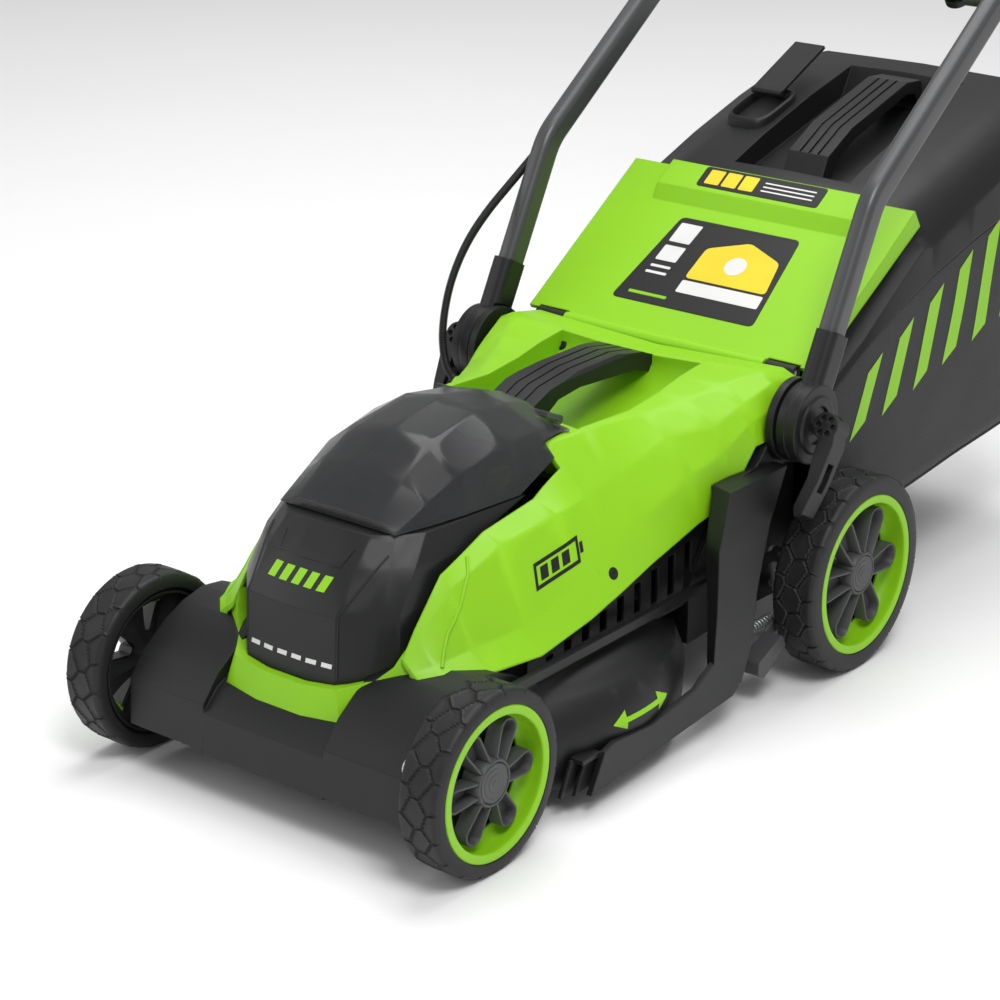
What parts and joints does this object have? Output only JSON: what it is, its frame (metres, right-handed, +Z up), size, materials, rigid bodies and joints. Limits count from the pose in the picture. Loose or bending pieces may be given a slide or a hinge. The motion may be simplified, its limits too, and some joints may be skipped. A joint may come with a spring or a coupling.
{
  "type": "lawn mower",
  "caption": "Cordless walk-behind lawn mower with folding handle, clear battery lid, single height lever, rear flap and grass box.",
  "frame": {"origin": "on the ground under the middle of the machine's box, handle unfolded", "axes": "+Z up, +Y to the rear where the user walks, +X to the machine's left"},
  "size_m": [0.4366, 1.4452, 1.027],
  "materials": {
    "lime_plastic": "satin moulded",
    "black_plastic": "fine moulded grain",
    "dark_plastic": "satin moulded",
    "grey_plastic": "satin moulded",
    "wheel_plastic": "matt",
    "clear_plastic": "polished, smoky",
    "battery_plastic": "matt",
    "key_plastic": "satin",
    "tube_paint": "satin powder coat",
    "zinc_steel": "zinc plated",
    "black_steel": "black coated",
    "blade_steel": "painted, ground edge",
    "winding_steel": "wound laminations",
    "case_aluminium": "cast",
    "foam": "soft grip",
    "bag_weave": "woven",
    "conduit_plastic": "corrugated"
  },
  "bodies": {
    "deck": {"deck_shell": "black_plastic", "side_frames": "black_plastic", "handle_mounts": "black_plastic", "pivot_bolts": "zinc_steel", "hood": "lime_plastic", "hood_screws": "black_steel", "carry_handle": "dark_plastic", "nose_cover": "dark_plastic", "battery_tray": "black_plastic", "motor_mount": "case_aluminium", "motor_bearings": "zinc_steel", "motor_stator": "winding_steel", "controller": "case_aluminium", "height_spring": "zinc_steel", "conduit_lower": "conduit_plastic", "flap_rod": "zinc_steel"},
    "rotor": {"motor_rotor": "zinc_steel", "blade_adapter": "case_aluminium", "blade": "blade_steel", "blade_bolt": "zinc_steel"},
    "front_axle": {"front_axle": "zinc_steel", "front_wheel_nuts": "zinc_steel"},
    "rear_axle": {"rear_axle": "zinc_steel", "rear_wheel_nuts": "zinc_steel", "height_lever_grip": "grey_plastic"},
    "link_rod": {"height_link_rod": "black_steel"},
    "front_left_wheel": {"front_left_wheel": "wheel_plastic", "front_left_ring": "lime_plastic", "front_left_hubcap": "grey_plastic"},
    "front_right_wheel": {"front_right_wheel": "wheel_plastic", "front_right_ring": "lime_plastic", "front_right_hubcap": "grey_plastic"},
    "rear_left_wheel": {"rear_left_wheel": "wheel_plastic", "rear_left_ring": "lime_plastic", "rear_left_hubcap": "grey_plastic"},
    "rear_right_wheel": {"rear_right_wheel": "wheel_plastic", "rear_right_ring": "lime_plastic", "rear_right_hubcap": "grey_plastic"},
    "lower_handle": {"lower_tube_left": "tube_paint", "lower_tube_right": "tube_paint", "pivot_bracket_left": "dark_plastic", "pivot_bracket_right": "dark_plastic"},
    "lower_cam_left": {"lower_cam_lever_left": "black_plastic"},
    "lower_cam_right": {"lower_cam_lever_right": "black_plastic"},
    "upper_handle": {"upper_handle": "tube_paint", "joint_bolts": "zinc_steel", "handle_grip": "foam", "switch_box": "black_plastic", "conduit_upper": "conduit_plastic"},
    "upper_cam_left": {"upper_cam_lever_left": "black_plastic"},
    "upper_cam_right": {"upper_cam_lever_right": "black_plastic"},
    "bail": {"bail_bar": "black_steel"},
    "start_button": {"start_button": "key_plastic"},
    "battery_pack": {"battery_pack": "battery_plastic"},
    "battery_lid": {"battery_lid": "clear_plastic"},
    "safety_key": {"safety_key": "key_plastic"},
    "rear_flap": {"rear_flap": "lime_plastic"},
    "grass_box": {"bag_lid": "black_plastic", "bag_fabric": "bag_weave"},
    "fill_indicator": {"fill_indicator": "black_plastic"}
  },
  "joints": [
    {"name": "blade_spin", "type": "hinge", "parent": "deck", "child": "rotor", "pos_m": [0, -0.45636, 0.06], "axis": [0, 0, 1], "continuous": true},
    {"name": "height_adjust", "type": "hinge", "parent": "deck", "child": "rear_axle", "pos_m": [0, -0.18579, 0.07556], "axis": [-1, 0, 0], "range_deg": [0, 55], "deforming": ["height_spring"]},
    {"name": "front_height", "type": "hinge", "parent": "deck", "child": "front_axle", "pos_m": [0, -0.68159, 0.06196], "axis": [-1, 0, 0], "range_deg": [0, 55]},
    {"name": "link_front_pin", "type": "hinge", "parent": "front_axle", "child": "link_rod", "pos_m": [0.1544, -0.69356, 0.09485], "axis": [-1, 0, 0], "range_deg": [-55, 0]},
    {"name": "front_left_spin", "type": "hinge", "parent": "front_axle", "child": "front_left_wheel", "pos_m": [0.19, -0.64636, 0.0762], "axis": [1, 0, 0], "continuous": true},
    {"name": "front_right_spin", "type": "hinge", "parent": "front_axle", "child": "front_right_wheel", "pos_m": [-0.19, -0.64636, 0.0762], "axis": [1, 0, 0], "continuous": true},
    {"name": "rear_left_spin", "type": "hinge", "parent": "rear_axle", "child": "rear_left_wheel", "pos_m": [0.19, -0.15056, 0.0898], "axis": [1, 0, 0], "continuous": true},
    {"name": "rear_right_spin", "type": "hinge", "parent": "rear_axle", "child": "rear_right_wheel", "pos_m": [-0.19, -0.15056, 0.0898], "axis": [1, 0, 0], "continuous": true},
    {"name": "lower_fold", "type": "hinge", "parent": "deck", "child": "lower_handle", "pos_m": [0, -0.19736, 0.237], "axis": [-1, 0, 0], "range_deg": [-115, 0], "deforming": ["conduit_lower", "conduit_upper"]},
    {"name": "upper_fold", "type": "hinge", "parent": "lower_handle", "child": "upper_handle", "pos_m": [0, 0.10164, 0.558], "axis": [1, 0, 0], "range_deg": [0, 160], "deforming": ["conduit_upper", "conduit_lower"]},
    {"name": "lower_cam_left_swing", "type": "hinge", "parent": "deck", "child": "lower_cam_left", "pos_m": [0.203, -0.19736, 0.237], "axis": [0, -0.8811, 0.4729], "range_deg": [0, 110]},
    {"name": "lower_cam_right_swing", "type": "hinge", "parent": "deck", "child": "lower_cam_right", "pos_m": [-0.203, -0.19736, 0.237], "axis": [0, 0.8811, -0.4729], "range_deg": [0, 110]},
    {"name": "upper_cam_left_swing", "type": "hinge", "parent": "upper_handle", "child": "upper_cam_left", "pos_m": [0.131, 0.10164, 0.558], "axis": [0, -0.5767, 0.817], "range_deg": [0, 110]},
    {"name": "upper_cam_right_swing", "type": "hinge", "parent": "upper_handle", "child": "upper_cam_right", "pos_m": [-0.131, 0.10164, 0.558], "axis": [0, 0.5767, -0.817], "range_deg": [0, 110]},
    {"name": "bail_squeeze", "type": "hinge", "parent": "upper_handle", "child": "bail", "pos_m": [0, 0.62895, 0.93022], "axis": [-1, 0, 0], "range_deg": [0, 30], "stiffness_Nm_per_rad": 0.5, "springref_deg": -20.05},
    {"name": "start_button_press", "type": "slide", "parent": "upper_handle", "child": "start_button", "axis": [0, 0.5767, -0.817], "range_m": [0, 0.004], "stiffness_N_per_m": 400, "springref_m": -0.001},
    {"name": "battery_lift", "type": "slide", "parent": "deck", "child": "battery_pack", "axis": [0, 0, 1], "range_m": [0, 0.012]},
    {"name": "battery_lid_open", "type": "hinge", "parent": "deck", "child": "battery_lid", "pos_m": [0, -0.39936, 0.271], "axis": [-1, 0, 0], "range_deg": [0, 90]},
    {"name": "safety_key_pull", "type": "slide", "parent": "deck", "child": "safety_key", "axis": [0, 0, 1], "range_m": [0, 0.012]},
    {"name": "rear_flap_lift", "type": "hinge", "parent": "deck", "child": "rear_flap", "pos_m": [0, -0.15936, 0.263], "axis": [1, 0, 0], "range_deg": [0, 50], "stiffness_Nm_per_rad": 0.3, "springref_deg": -34.38},
    {"name": "grass_box_pull", "type": "slide", "parent": "deck", "child": "grass_box", "axis": [0, 1, 0], "range_m": [0, 0.3]},
    {"name": "fill_indicator_tilt", "type": "hinge", "parent": "grass_box", "child": "fill_indicator", "pos_m": [-0.095, 0.14464, 0.425], "axis": [1, 0, 0], "range_deg": [-10, 0]}
  ],
  "couplings": [
    {"joint": "front_height", "follows": "height_adjust", "ratio": 1},
    {"joint": "link_front_pin", "follows": "height_adjust", "ratio": -1}
  ]
}
